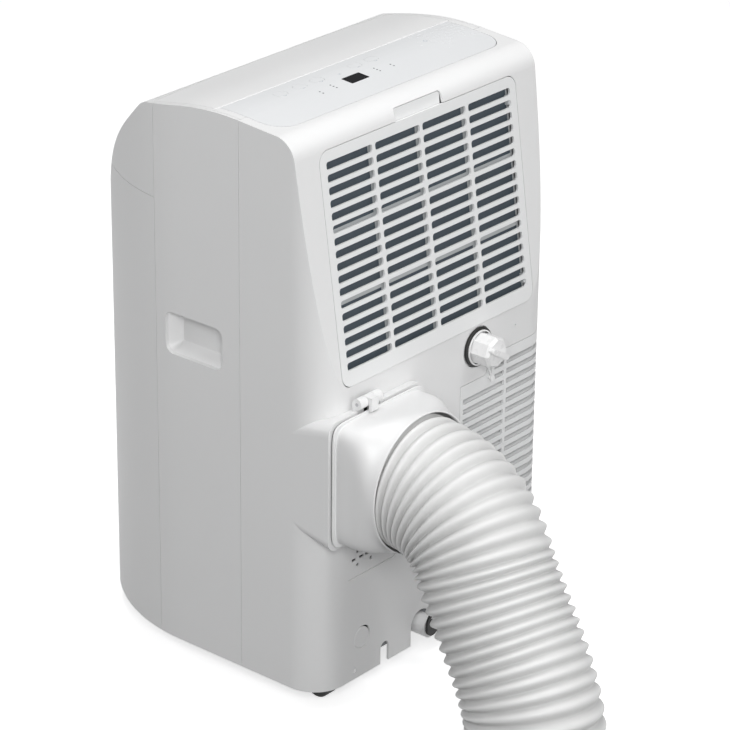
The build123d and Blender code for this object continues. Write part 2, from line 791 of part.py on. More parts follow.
# ---- air outlet duct with swinging vanes ------------------------------------------------
outlet_low = (-outlet_size[0] / 2, outlet_y - outlet_size[1] / 2, outlet_z[0])
outlet_high = (outlet_size[0] / 2, outlet_y + outlet_size[1] / 2, outlet_z[1])
outlet_wall = 2.5
vane_rear_y = outlet_y + vane_size[1] / 2
link_y = vane_rear_y + 1.5
with BuildPart() as outlet_duct:
    add(slab(outlet_low, outlet_high))
    add(slab(
        (outlet_low[0] + outlet_wall, outlet_low[1] + outlet_wall, outlet_low[2] - 1),
        (outlet_high[0] - outlet_wall, outlet_high[1] - outlet_wall, outlet_high[2] + 1),
    ), mode=Mode.SUBTRACT)
    for x in vane_x:
        bore_start = (x, outlet_low[1] - 5, vane_pivot_z)
        add(rod(bore_start, (0, 1, 0), vane_pin_r + running, outlet_size[1] + 10), mode=Mode.SUBTRACT)
save(outlet_duct, "outlet_duct")

for number, x in enumerate(vane_x, start=1):
    with BuildPart() as vane:
        with BuildSketch(Plane.YZ.offset(x - vane_size[0] / 2)):
            with Locations((outlet_y - 1, vane_pivot_z - 4)):
                RectangleRounded(vane_size[1] - 2, vane_size[2], 6)
        extrude(amount=vane_size[0])
        add(rod((x, outlet_low[1], vane_pivot_z), (0, 1, 0), vane_pin_r, outlet_size[1]))
        add(rod((x, vane_rear_y - 4, vane_pivot_z - link_arm), (0, 1, 0), link_pin_r, 9))
    save(vane, f"outlet_vane_{number}")

link_slot = 2 * (link_pin_r + 0.7)
with BuildPart() as vane_link:
    with BuildSketch(Plane.XZ.offset(-(link_y + 2.5))):
        with Locations((0, vane_pivot_z - link_arm + 1.5)):
            Rectangle(vane_x[-1] - vane_x[0] + 24, 18)
        with Locations(*[(x, vane_pivot_z - link_arm + 1.5) for x in vane_x]):
            SlotOverall(10, link_slot, rotation=90, mode=Mode.SUBTRACT)
    extrude(amount=2.5)
save(vane_link, "vane_link")


# ---- fans: scroll housing, wheel on its shaft, motor ---------------------------------------
def scroll_housing(plane, radius, deep, throat_end, intake_r):
    """Snail housing on a plane: round chamber and a throat towards local +Y, hollow throughout."""
    with BuildPart() as housing:
        for shrink in (0, scroll_wall):
            with BuildSketch(plane.offset(shrink)):
                Circle(radius - shrink)
                with Locations((0, throat_end / 2 + shrink / 2)):
                    Rectangle(2 * radius - 2 * shrink, throat_end + shrink)
            mode = Mode.SUBTRACT if shrink else Mode.ADD
            extrude(amount=deep - 2 * shrink, mode=mode)
        with BuildSketch(plane.offset(-1)):
            Circle(intake_r)
        extrude(amount=scroll_wall + 2, mode=Mode.SUBTRACT)
        with BuildSketch(plane.offset(deep + 1)):
            Circle(shaft_r + 5)
        extrude(amount=-scroll_wall - 2, mode=Mode.SUBTRACT)
    return housing


def fan_wheel(plane, radius, deep, shaft_length):
    """Drum wheel: back disc, front ring, blades between them, and the shaft."""
    with BuildPart() as wheel:
        with BuildSketch(plane):
            Circle(radius)
            Circle(radius - 14, mode=Mode.SUBTRACT)
        extrude(amount=3)
        with BuildSketch(plane.offset(deep - 4)):
            Circle(radius)
        extrude(amount=4)
        with BuildSketch(plane.offset(2)):
            with PolarLocations(radius - 7, 24):
                Rectangle(12, 1.4)
        extrude(amount=deep - 5)
        with BuildSketch(plane.offset(deep / 2)):
            Circle(shaft_r + 8)
        extrude(amount=deep / 2)
        with BuildSketch(plane.offset(deep / 2)):
            Circle(shaft_r)
        extrude(amount=shaft_length + deep / 2)
    return wheel


def fan_motor(plane, radius, deep):
    """Motor can on its plane, with a bore for the shaft."""
    with BuildPart() as motor:
        with BuildSketch(plane):
            Circle(radius)
            Circle(shaft_r + running, mode=Mode.SUBTRACT)
        extrude(amount=deep)
        fillet(motor.edges().filter_by(GeomType.CIRCLE).group_by(SortBy.RADIUS)[-1], 4)
        with BuildSketch(plane):
            Rectangle(2 * radius + 26, 18)
            Circle(radius - 6, mode=Mode.SUBTRACT)
        extrude(amount=4)
    return motor


upper_deep = 84.0
upper_rear_y = upper_fan[1] + upper_deep / 2
upper_centre = (upper_fan[0], upper_rear_y, upper_fan[2])
upper_plane = Plane(origin=upper_centre, x_dir=(1, 0, 0), z_dir=(0, -1, 0))
upper_throat = outlet_z[0] - upper_fan[2] - 1
upper_scroll = scroll_housing(upper_plane, upper_scroll_r, upper_deep, upper_throat, upper_fan_r - 16)
save(upper_scroll, "upper_scroll")
upper_blower = fan_wheel(upper_plane.offset(8), upper_fan_r, upper_deep - 20, 44)
save(upper_blower, "upper_blower")
upper_motor = fan_motor(upper_plane.offset(upper_deep + 1), 38, 40)
save(upper_motor, "upper_motor")

lower_deep = 112.0
lower_centre = (lower_fan[0] + lower_deep / 2, lower_fan[1], lower_fan[2])
lower_plane = Plane(origin=lower_centre, x_dir=(0, 0, 1), z_dir=(-1, 0, 0))
lower_throat = back_y - wall - 2 - lower_fan[1]
lower_scroll = scroll_housing(lower_plane, lower_scroll_r, lower_deep, lower_throat, lower_fan_r - 14)
save(lower_scroll, "lower_scroll")
lower_blower = fan_wheel(lower_plane.offset(8), lower_fan_r, lower_deep - 20, 44)
save(lower_blower, "lower_blower")
lower_motor = fan_motor(lower_plane.offset(lower_deep + 1), 34, 38)
save(lower_motor, "lower_motor")

with BuildPart() as capacitor:
    with BuildSketch(Plane.XY.offset(divider_z + divider_plate)):
        with Locations((front_corner_r + 75, front_y + 60)):
            Circle(20)
    extrude(amount=70)
    fillet(capacitor.edges().group_by(Axis.Z)[-1], 3)
    with BuildSketch(Plane.XY.offset(divider_z + divider_plate + 69)):
        with Locations((front_corner_r + 68, front_y + 60), (front_corner_r + 82, front_y + 60)):
            Rectangle(1, 6)
    extrude(amount=9)
save(capacitor, "run_capacitor")

# ---- exhaust duct: socket, latch, connector, collar, hose, cuff -----------------------------
socket_rear = socket_y - socket_plate


def square_ring(size_drop, bore):
    with BuildSketch() as ring:
        corner_r = socket_corner_r - size_drop / 4
        RectangleRounded(socket_size[0] - size_drop, socket_size[1] - size_drop, corner_r)
        Circle(bore, mode=Mode.SUBTRACT)
    return ring.sketch


def rear_plane(y):
    """Plane facing backwards at a given y, local x towards -X, centred on the duct."""
    return Plane(origin=(duct_x, y, duct_z), x_dir=(-1, 0, 0), z_dir=(0, 1, 0))


with BuildPart() as duct_socket:
    with BuildSketch(rear_plane(socket_rear)):
        add(square_ring(13, air_r))
    extrude(amount=socket_plate)
    for side in (-1, 1):
        lug_low = latch_x + side * (knuckle + knuckle_gap) - knuckle / 2
        lug_high = lug_low + knuckle
        add(rod((lug_low, latch_y, latch_z), (1, 0, 0), knuckle_r, knuckle))
        lug_foot = (lug_low, latch_y - knuckle_r, boss_top - knuckle_root - 2)
        add(slab(lug_foot, (lug_high, latch_y - 0.5, latch_z)))
    add(rod((latch_x - 30, latch_y, latch_z), (1, 0, 0), latch_pin_r, 60), mode=Mode.SUBTRACT)
save(duct_socket, "duct_socket")

with BuildPart() as latch_pin:
    pin_start = (latch_x - 1.5 * knuckle - 1, latch_y, latch_z)
    add(rod(pin_start, (1, 0, 0), latch_pin_r - running, 3 * knuckle + 2))
save(latch_pin, "latch_pin")

flange = 4.0
flange_y = socket_y + 0.4
with BuildPart() as duct_latch:
    add(rod((latch_x - knuckle / 2, latch_y, latch_z), (1, 0, 0), knuckle_r, knuckle))
    latch_tip = (latch_x + knuckle / 2, flange_y + flange + 5, latch_z + knuckle_r - 0.6)
    add(slab((latch_x - knuckle / 2, latch_y, latch_z + 1.5), latch_tip))
    add(slab((latch_x - knuckle / 2, flange_y + flange + 1.0, boss_top - 2.6), latch_tip))
    add(rod((latch_x - 30, latch_y, latch_z), (1, 0, 0), latch_pin_r, 60), mode=Mode.SUBTRACT)
save(duct_latch, "duct_latch")

mouth_y = socket_y + connector_reach
shell_t = 2.5
with BuildPart() as duct_connector:
    with BuildSketch(rear_plane(flange_y)):
        RectangleRounded(socket_size[0] - 4, socket_size[1] - 4, socket_corner_r)
    extrude(amount=flange)
    with BuildSketch(rear_plane(flange_y + flange)):
        RectangleRounded(socket_size[0] - 12, socket_size[1] - 8, socket_corner_r + 6)
    with BuildSketch(rear_plane(mouth_y - 16)):
        Circle(mouth_r + shell_t)
    loft()
    with BuildSketch(rear_plane(mouth_y - 16)):
        Circle(mouth_r + shell_t)
    extrude(amount=16)
    with BuildSketch(rear_plane(flange_y + flange)):
        inner_x = socket_size[0] - 12 - 2 * shell_t
        inner_z = socket_size[1] - 8 - 2 * shell_t
        RectangleRounded(inner_x, inner_z, socket_corner_r + 4)
    with BuildSketch(rear_plane(mouth_y - 16)):
        Circle(mouth_r)
    loft(mode=Mode.SUBTRACT)
    with BuildSketch(rear_plane(mouth_y - 16)):
        Circle(mouth_r)
    extrude(amount=17, mode=Mode.SUBTRACT)
    with BuildSketch(rear_plane(flange_y - 1)):
        Circle(air_r)
    extrude(amount=flange + 3, mode=Mode.SUBTRACT)
save(duct_connector, "duct_connector")

collar_y = hose_route[0][1]
with BuildPart() as hose_collar:
    with BuildSketch(rear_plane(flange_y + flange)):
        Circle(air_r + 2)
        Circle(air_r, mode=Mode.SUBTRACT)
    extrude(amount=collar_y - flange_y - flange)
    with BuildSketch(rear_plane(collar_y - 6)):
        Circle(collar_r)
        Circle(air_r, mode=Mode.SUBTRACT)
    extrude(amount=6)
save(hose_collar, "hose_collar")


def arc_radii(route):
    """The largest tangent arc that each corner of the route has room for."""
    points = [Vector(*p) for p in route]
    runs = [b - a for a, b in zip(points, points[1:])]
    radii = []
    for before, after in zip(runs, runs[1:]):
        half_turn = radians(before.get_angle(after)) / 2
        radii.append(0.45 * min(before.length, after.length) / tan(half_turn))
    return radii


hose_radii = arc_radii(hose_route)
print("duct bend radii", [round(r) for r in hose_radii])
with BuildPart() as exhaust_hose:
    with BuildLine():
        hose_line = FilletPolyline(*hose_route, radius=hose_radii)
    with BuildSketch(Plane(origin=hose_line @ 0, z_dir=hose_line % 0)):
        Circle(hose_r)
        Circle(hose_r - hose_wall, mode=Mode.SUBTRACT)
    sweep(path=hose_line)
save(exhaust_hose, "exhaust_hose")
hose_section = pi * (hose_r**2 - (hose_r - hose_wall) ** 2)
volume_ratio = exhaust_hose.part.volume / (hose_section * hose_line.length)
print("duct length", round(hose_line.length), "volume ratio", round(volume_ratio, 4))

with BuildPart() as hose_cuff:
    with BuildSketch(Plane.XY):
        with Locations(hose_route[-1][:2]):
            Circle(cuff_r)
            Circle(air_r, mode=Mode.SUBTRACT)
    extrude(amount=cuff_height)
    foot_edges = hose_cuff.edges().filter_by(GeomType.CIRCLE).group_by(Axis.Z)[0]
    fillet(foot_edges.sort_by(SortBy.RADIUS)[-1], 4)
save(hose_cuff, "hose_cuff")

# ---- drains ------------------------------------------------------------------------------------
with BuildPart() as drain_spout:
    with BuildSketch(Plane.XZ.offset(-(back_y - 3.6))):
        with Locations((drain_x, drain_z)):
            Circle(drain_flange_r)
            Circle(drain_bore_r, mode=Mode.SUBTRACT)
    extrude(amount=2.4)
    add(rod((drain_x, back_y - 6, drain_z), (0, 1, 0), drain_spout_r, 26))
    add(rod((drain_x, back_y - 14, drain_z), (0, 1, 0), drain_spout_r - 1, 12))
    add(rod((drain_x, back_y - 50, drain_z), (0, 1, 0), drain_bore_r, 80), mode=Mode.SUBTRACT)
save(drain_spout, "drain_spout")

cap_y = back_y + 1.6
with BuildPart() as drain_cap:
    with BuildSketch(Plane.XZ.offset(-cap_y)):
        with Locations((drain_x, drain_z)):
            RegularPolygon(cap_r, 8, major_radius=False)
    extrude(amount=-(cap_reach - 1.6))
    chamfer(drain_cap.faces().sort_by(Axis.Y)[-1].edges(), length=4, length2=3)
    along_grip = (cos(radians(cap_grip_turn)), 0, sin(radians(cap_grip_turn)))
    grip_foot = (drain_x, back_y + cap_reach - 3, drain_z)
    with BuildSketch(Plane(origin=grip_foot, x_dir=along_grip, z_dir=(0, 1, 0))):
        SlotOverall(cap_grip[0], cap_grip[2])
    extrude(amount=cap_grip[1])
    with BuildSketch(Plane.XZ.offset(-cap_y)):
        with Locations((drain_x, drain_z)):
            Circle(drain_spout_r + running)
    extrude(amount=-20.6, mode=Mode.SUBTRACT)
save(drain_cap, "drain_cap")

strap_y = back_y + 4.0
strap_ring = cap_r / cos(radians(22.5)) + 0.7
strap_end = (low_grille_step_x + 4.0, low_grille_z[1] - 6.0)
with BuildPart() as cap_strap:
    with BuildSketch(Plane.XZ.offset(-strap_y)):
        with Locations((drain_x, drain_z)):
            Circle(strap_ring + strap_width)
        with BuildLine():
            Line((drain_x - 10, drain_z - strap_ring + 1), strap_end)
            Line((drain_x - strap_ring + 1, drain_z - 10), strap_end)
        trace(line_width=strap_width)
        with Locations(strap_end):
            Circle(4)
        with Locations((drain_x, drain_z)):
            Circle(strap_ring, mode=Mode.SUBTRACT)
    extrude(amount=-1.6)
    add(rod((strap_end[0], back_y + 0.1, strap_end[1]), (0, 1, 0), 2.2, 5.5))
save(cap_strap, "cap_strap")

with BuildPart() as low_drain_spout:
    add(rod((low_drain_x, back_y - 30, low_drain_z), (0, 1, 0), low_spout_r, 46))
    add(rod((low_drain_x, back_y - 31, low_drain_z), (0, 1, 0), low_bore_r, 60), mode=Mode.SUBTRACT)
save(low_drain_spout, "low_drain_spout")

with BuildPart() as low_drain_plug:
    add(rod((low_drain_x, back_y + 2, low_drain_z), (0, 1, 0), low_bore_r - running, 15))
    add(rod((low_drain_x, back_y + 16.4, low_drain_z), (0, 1, 0), low_bore_r + 2, 4))
    with BuildSketch(Plane.XZ.offset(-(back_y + 17.4))):
        with Locations((low_drain_x - 4, low_drain_z + 7)):
            Circle(15)
            Circle(11.5, mode=Mode.SUBTRACT)
    extrude(amount=-3)
save(low_drain_plug, "low_drain_plug")

# ---- plug parking, blanking cover -----------------------------------------------------
parking_y = back_y - wall
with BuildPart() as plug_parking:
    with BuildSketch(Plane.XZ.offset(-parking_y)):
        with Locations((parking_x, parking_z)):
            RectangleRounded(parking_size[0], parking_size[1], 5.6)
    extrude(amount=-(wall - 1.2))
    with BuildSketch(Plane.XZ.offset(-parking_y + 1)):
        for cell in (-25.0, 0.0, 25.0):
            for side in (-1, 1):
                with Locations((parking_x + cell, parking_z - 6 + side * 9)):
                    Circle(2.4)
                with Locations((parking_x + cell + side * 7, parking_z - 6)):
                    Rectangle(8, 3.4)
    extrude(amount=-(wall + 2), mode=Mode.SUBTRACT)
save(plug_parking, "plug_parking")

with BuildPart() as blanking_cover:
    add(rod((cover_x, back_y - wall, cover_z), (0, 1, 0), cover_r, wall))
    chamfer(blanking_cover.edges().group_by(Axis.Y)[-1], 0.6)
save(blanking_cover, "blanking_cover")

# ---- castors ----------------------------------------------------------------------------------
for place, (x, y) in castor_places.items():
    axle_y = y + castor_trail
    with BuildPart() as castor_fork:
        add(rod((x, y, wheel_r + 24), (0, 0, 1), stem_r, pan_z + 12 - wheel_r - 24))
        with BuildSketch(Plane.YZ.offset(x - wheel_width / 2 - 3.5)):
            with Locations((axle_y, wheel_r)):
                Circle(wheel_r + 4)
            with Locations((axle_y - 7, wheel_r + 14)):
                Rectangle(32, 24)
        extrude(amount=wheel_width + 7)
        with BuildSketch(Plane.YZ.offset(x - wheel_width / 2 - 1)):
            with Locations((axle_y, wheel_r)):
                Circle(wheel_r + 1.8)
        extrude(amount=wheel_width + 2, mode=Mode.SUBTRACT)
        add(slab((x - 30, axle_y - 60, -10), (x + 30, axle_y + 60, wheel_r - 5)), mode=Mode.SUBTRACT)
        add(rod((x - 30, axle_y, wheel_r), (1, 0, 0), axle_r + running, 60), mode=Mode.SUBTRACT)
    save(castor_fork, f"castor_fork_{place}")
    with BuildPart() as castor_wheel:
        add(rod((x - wheel_width / 2, axle_y, wheel_r), (1, 0, 0), wheel_r, wheel_width))
        fillet(castor_wheel.edges(), 2.5)
        add(rod((x - wheel_width / 2 - 3.2, axle_y, wheel_r), (1, 0, 0), axle_r, wheel_width + 6.4))
    save(castor_wheel, f"castor_wheel_{place}")
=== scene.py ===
# Portable air conditioner with its exhaust duct: the looks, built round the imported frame
import json
import math
import bpy
import numpy as np
from mathutils import Matrix, Vector


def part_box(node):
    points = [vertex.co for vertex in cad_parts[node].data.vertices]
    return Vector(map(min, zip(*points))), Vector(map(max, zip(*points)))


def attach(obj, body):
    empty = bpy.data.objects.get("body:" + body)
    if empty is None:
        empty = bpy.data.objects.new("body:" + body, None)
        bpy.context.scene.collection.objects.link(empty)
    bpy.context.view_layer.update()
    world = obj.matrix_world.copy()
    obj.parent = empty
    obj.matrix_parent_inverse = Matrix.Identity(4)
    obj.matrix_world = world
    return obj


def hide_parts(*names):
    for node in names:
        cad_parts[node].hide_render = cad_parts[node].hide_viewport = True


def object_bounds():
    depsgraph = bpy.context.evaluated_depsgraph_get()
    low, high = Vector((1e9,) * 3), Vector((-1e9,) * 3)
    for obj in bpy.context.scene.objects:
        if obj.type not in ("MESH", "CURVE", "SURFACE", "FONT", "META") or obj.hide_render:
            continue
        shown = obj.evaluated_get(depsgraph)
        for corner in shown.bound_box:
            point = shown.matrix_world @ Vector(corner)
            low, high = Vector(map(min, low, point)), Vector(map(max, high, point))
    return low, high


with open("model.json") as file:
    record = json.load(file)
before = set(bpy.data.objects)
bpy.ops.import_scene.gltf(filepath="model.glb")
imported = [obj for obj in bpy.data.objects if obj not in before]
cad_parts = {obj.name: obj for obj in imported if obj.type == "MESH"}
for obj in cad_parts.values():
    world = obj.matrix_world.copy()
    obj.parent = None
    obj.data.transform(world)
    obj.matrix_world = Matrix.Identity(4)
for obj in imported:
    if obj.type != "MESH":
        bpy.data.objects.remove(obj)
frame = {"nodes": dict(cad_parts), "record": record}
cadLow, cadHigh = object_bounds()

nodes = frame["nodes"]
scene = bpy.context.scene


class Wire:
    # one socket of a tree; arithmetic on wires adds the Math nodes it needs
    def __init__(self, tree, socket=None):
        self.tree = tree
        self.socket = socket

    def node(self, kind, settings=None, values=None, out=0):
        # any node: settings come first, then the values or links of its sockets
        made = self.tree.nodes.new(kind)
        for name, value in (settings or {}).items():
            setattr(made, name, value)
        for name, value in (values or {}).items():
            if isinstance(value, Wire):
                self.tree.links.new(value.socket, made.inputs[name])
            else:
                made.inputs[name].default_value = value
        return Wire(self.tree, made.outputs[out])

    def math(self, operation, first, second=0.0):
        return self.node("ShaderNodeMath", {"operation": operation}, {0: first, 1: second})

    def __add__(self, other):
        return self.math("ADD", self, other)

    __radd__ = __add__

    def __sub__(self, other):
        return self.math("SUBTRACT", self, other)

    def __rsub__(self, other):
        return self.math("SUBTRACT", other, self)

    def __mul__(self, other):
        return self.math("MULTIPLY", self, other)

    __rmul__ = __mul__

    def size(self):
        # the value without its sign
        return self.math("ABSOLUTE", self)

    def above(self, edge):
        return self.math("GREATER_THAN", self, edge)

    def below(self, edge):
        return self.math("LESS_THAN", self, edge)

    def wave(self, pitch):
        # distance from the nearest line of a family one pitch apart, from 0 on a line to 0.5 halfway
        return self.math("ABSOLUTE", self.math("FRACT", self * (1 / pitch) + 100.0) - 0.5)

    def part(self, axis):
        # one component of this vector
        return self.node("ShaderNodeSeparateXYZ", None, {0: self}, out="XYZ".index(axis))

    def along(self, direction):
        # this vector's component along a direction
        return self.node("ShaderNodeVectorMath", {"operation": "DOT_PRODUCT"}, {0: self, 1: direction}, out=1)

    def noise(self, scale, detail=3.0, roughness=0.5):
        return self.node("ShaderNodeTexNoise", None,
                         {"Vector": self, "Scale": scale, "Detail": detail, "Roughness": roughness})

    def blend(self, low, high):
        # a colour between two, by this factor
        return self.node("ShaderNodeMix", {"data_type": "RGBA"}, {0: self, 6: low, 7: high}, out=2)

    def bump(self, distance):
        return self.node("ShaderNodeBump", None, {"Height": self, "Distance": distance, "Strength": 1.0})


def tint(colour, factor=1.0):
    return (*[c * factor for c in colour], 1.0)


def startMaterial(name):
    material = bpy.data.materials.new(name)
    material.use_nodes = True
    tree = material.node_tree
    shader = tree.nodes["Principled BSDF"]
    place = Wire(tree).node("ShaderNodeTexCoord", out=3)
    return material, shader, place


def feed(shader, name, wire):
    wire.tree.links.new(wire.socket, shader.inputs[name])


# what each moulded finish looks like: colour, roughness, depth of the mould's grain, clear coat
plastics = {
    "casing_white": {"colour": (0.80, 0.80, 0.80), "roughness": 0.42, "grain": 0.000020, "coat": 0.0},
    "grille_white": {"colour": (0.82, 0.825, 0.825), "roughness": 0.38, "grain": 0.000012, "coat": 0.0},
    "duct_white": {"colour": (0.81, 0.81, 0.81), "roughness": 0.42, "grain": 0.000010, "coat": 0.0},
    "cap_white": {"colour": (0.84, 0.84, 0.84), "roughness": 0.28, "grain": 0.000008, "coat": 0.15},
    "panel_white": {"colour": (0.81, 0.82, 0.83), "roughness": 0.26, "grain": 0.000004, "coat": 0.25},
    "key_film": {"colour": (0.81, 0.82, 0.83), "roughness": 0.26, "grain": 0.000004, "coat": 0.25},
    "lamp_grey": {"colour": (0.10, 0.11, 0.12), "roughness": 0.2, "grain": 0.000002, "coat": 0.5},
    "scroll_grey": {"colour": (0.30, 0.32, 0.33), "roughness": 0.5, "grain": 0.000030, "coat": 0.0},
    "blower_black": {"colour": (0.03, 0.03, 0.032), "roughness": 0.5, "grain": 0.000020, "coat": 0.0},
    "castor_black": {"colour": (0.018, 0.018, 0.019), "roughness": 0.42, "grain": 0.000030, "coat": 0.0},
    "plug_rubber": {"colour": (0.012, 0.012, 0.012), "roughness": 0.6, "grain": 0.000040, "coat": 0.0},
    "wheel_tread": {"colour": (0.022, 0.022, 0.022), "roughness": 0.62, "grain": 0.000050, "coat": 0.0},
    "pan_steel": {"colour": (0.22, 0.23, 0.24), "roughness": 0.5, "grain": 0.000030, "coat": 0.0},
    "board_green": {"colour": (0.02, 0.12, 0.05), "roughness": 0.35, "grain": 0.000030, "coat": 0.3},
    "display_black": {"colour": (0.006, 0.006, 0.008), "roughness": 0.09, "grain": 0.000001, "coat": 0.6},
    "painted_steel": {"colour": (0.02, 0.02, 0.022), "roughness": 0.34, "grain": 0.000060, "coat": 0.2},
}


def mouldedPlastic(name, look):
    # fine mould grain in the bump, broad faint cloudiness in colour and gloss
    material, shader, place = startMaterial(name)
    cloud = place.noise(6.0, 2.0)
    speck = place.noise(140.0, 2.0)
    share = cloud * 0.8 + speck * 0.2
    feed(shader, "Base Color", share.blend(tint(look["colour"], 0.97), tint(look["colour"], 1.025)))
    feed(shader, "Roughness", cloud * 0.08 + speck * 0.05 + (look["roughness"] - 0.065))
    grain = place.noise(1500.0, 3.0, 0.6) + 0.4 * place.noise(420.0, 2.0)
    feed(shader, "Normal", grain.bump(look["grain"]))
    shader.inputs["Coat Weight"].default_value = look["coat"]
    shader.inputs["Coat Roughness"].default_value = 0.18
    return material


def brushedMetal(name, colour, roughness, stretch):
    # drawing or plating lines run where the stretch is least, with a few dull patches
    material, shader, place = startMaterial(name)
    stretched = place.node("ShaderNodeVectorMath", {"operation": "MULTIPLY"}, {0: place, 1: stretch})
    lines = stretched.noise(60.0, 4.0)
    dull = place.noise(18.0, 3.0)
    feed(shader, "Base Color", dull.blend(tint(colour, 0.8), tint(colour, 1.1)))
    feed(shader, "Roughness", lines * 0.18 + dull * 0.12 + (roughness - 0.15))
    feed(shader, "Normal", lines.bump(0.00004))
    shader.inputs["Metallic"].default_value = 1.0
    return material


# heat exchanger: thin upright fins, blue-grey coated
coil = {"pitch": 0.0021, "shade": (0.028, 0.036, 0.045), "edge": (0.12, 0.15, 0.18)}


def finnedCoil(name):
    # bright where the distance from a fin's middle is largest, with a little cloud; the dark and bright
    # stripes are painted shade and painted light of the fins' relief over the blue-grey coating
    material, shader, place = startMaterial(name)
    across = place.part("X").wave(coil["pitch"])
    cloud = place.noise(25.0, 3.0)
    ridge = across * 2.0 + cloud * 0.2 - 0.1
    feed(shader, "Base Color", ridge.blend(tint(coil["shade"]), tint(coil["edge"])))
    feed(shader, "Normal", across.bump(0.0006))
    shader.inputs["Metallic"].default_value = 0.55
    shader.inputs["Roughness"].default_value = 0.45
    return material


tilt = math.radians(8.0)
tiltNormal = (0.0, math.cos(tilt), math.sin(tilt))
slopeUp = (0.0, -math.sin(tilt), math.cos(tilt))


def points(obj):
    # the object's vertices as rows of x, y and z
    table = np.empty(len(obj.data.vertices) * 3)
    obj.data.vertices.foreach_get("co", table)
    return table.reshape(-1, 3)


# filter: a white frame that stands proud of a dark woven net
net = {"pitch": 0.0016, "proud": 0.0014, "step": 0.0004,
       "dark": (0.045, 0.060, 0.076), "light": (0.11, 0.14, 0.165), "frame": (0.5, 0.52, 0.53)}
meshFront = np.percentile(points(nodes["filter_mesh"]) @ np.array(tiltNormal), 0.5)


def filterNet(name):
    # two families of threads square to each other, and plain frame where the piece stands proud of the net
    material, shader, place = startMaterial(name)
    onFrame = place.along(tiltNormal).above(meshFront + net["proud"])
    threadX = place.part("X").wave(net["pitch"])
    threadV = place.along(slopeUp).wave(net["pitch"])
    weave = threadX.math("MAXIMUM", threadX, threadV)
    cloud = place.noise(30.0, 2.0)
    netColour = (weave * 1.6 + cloud * 0.3 - 0.3).blend(tint(net["dark"]), tint(net["light"]))
    feed(shader, "Base Color", onFrame.blend(netColour, tint(net["frame"])))
    feed(shader, "Normal", (weave * (1 - onFrame)).bump(net["step"]))
    shader.inputs["Roughness"].default_value = 0.55
    return material


# plain printed marks by the keys, each (x, y, kind), where a kind is a ring or a pair of level bars
panelMarks = {
    "places": [
        (0.127, 0.047, "ring"), (0.093, 0.047, "bars"), (0.062, 0.047, "ring"), (0.028, 0.0475, "bars"),
        (-0.007, 0.047, "bars"), (-0.038, 0.047, "ring"), (-0.134, 0.047, "ring"),
    ],
    "radius": 0.0024, "line": 0.00032, "barLift": 0.00108, "strength": 0.8, "ink": (0.36, 0.42, 0.50),
}


def printedMarks(material):
    # ink where the distance from a mark's centre is near the ring's radius, or near one of two level bars
    shader = material.node_tree.nodes["Principled BSDF"]
    place = Wire(material.node_tree).node("ShaderNodeTexCoord", out=3)
    inked = 0.0
    for x, y, kind in panelMarks["places"]:
        offX = (place.part("X") - x).size()
        offY = (place.part("Y") - y).size()
        if kind == "ring":
            spread = offX * offX + offY * offY
            reach = spread.math("SQRT", spread)
            mark = (reach - panelMarks["radius"]).size().below(panelMarks["line"])
        else:
            bar = (offY - panelMarks["barLift"]).size()
            mark = bar.below(panelMarks["line"]) * offX.below(panelMarks["radius"])
        inked = mark + inked
    plain = Wire(material.node_tree, shader.inputs["Base Color"].links[0].from_socket)
    feed(shader, "Base Color", (inked * panelMarks["strength"]).blend(plain, tint(panelMarks["ink"])))


materials = {name: mouldedPlastic(name, look) for name, look in plastics.items()}
printedMarks(materials["panel_white"])
materials["copper"] = brushedMetal("copper", (0.72, 0.36, 0.20), 0.32, (1.0, 8.0, 8.0))
materials["zinc_steel"] = brushedMetal("zinc_steel", (0.58, 0.58, 0.60), 0.35, (0.4, 6.0, 6.0))
materials["coil_fins"] = finnedCoil("coil_fins")
materials["filter_net"] = filterNet("filter_net")


# the duct's film: soft satin with a faint mottle, with painted shade darkening its colour in the valley
# between the ribs, where it is also a little rougher
hoseFilm = {"crest": (0.78, 0.78, 0.775), "valleyShade": (0.56, 0.56, 0.555), "roughness": 0.46}


def ductFilm(name):
    # the rib's height mixes the painted valley shade into the crest colour, and mottle loosens both colour
    # and gloss
    material, shader, place = startMaterial(name)
    height = place.node("ShaderNodeAttribute", {"attribute_name": "ribHeight"}, out=2)
    mottle = place.noise(45.0, 4.0)
    fine = place.noise(900.0, 3.0)
    share = height * 0.7 + mottle * 0.3
    feed(shader, "Base Color", share.blend(tint(hoseFilm["valleyShade"]), tint(hoseFilm["crest"])))
    feed(shader, "Roughness", mottle * 0.14 + (hoseFilm["roughness"] - 0.07) + height * -0.06)
    feed(shader, "Normal", (fine * 0.5 + place.noise(160.0, 3.0)).bump(0.00008))
    return material


materials["hose_white"] = ductFilm("hose_white")

for part in frame["record"]["subparts"]:
    node = nodes[part["node"]]
    node.data.materials.clear()
    node.data.materials.append(materials[part["material_slot"]])
print("materials", len(materials))


def meshFromGrid(name, grid, closeRows, closeRing, sharp=40.0):
    # a grid of points, rows by ring, becomes quads; either way round may close on itself
    rows, ring = grid.shape[:2]
    lastRow = rows if closeRows else rows - 1
    lastRing = ring if closeRing else ring - 1
    row, column = np.meshgrid(np.arange(lastRow), np.arange(lastRing), indexing="ij")
    nextRow = (row + 1) % rows
    nextColumn = (column + 1) % ring
    quads = np.stack([row * ring + column, row * ring + nextColumn,
                      nextRow * ring + nextColumn, nextRow * ring + column], -1).reshape(-1, 4)
    mesh = bpy.data.meshes.new(name)
    mesh.from_pydata(grid.reshape(-1, 3).tolist(), [], quads.tolist())
    mesh.polygons.foreach_set("use_smooth", np.ones(len(quads), bool))
    mesh.update()
    mesh.set_sharp_from_angle(angle=math.radians(sharp))
    obj = bpy.data.objects.new(name, mesh)
    scene.collection.objects.link(obj)
    return obj


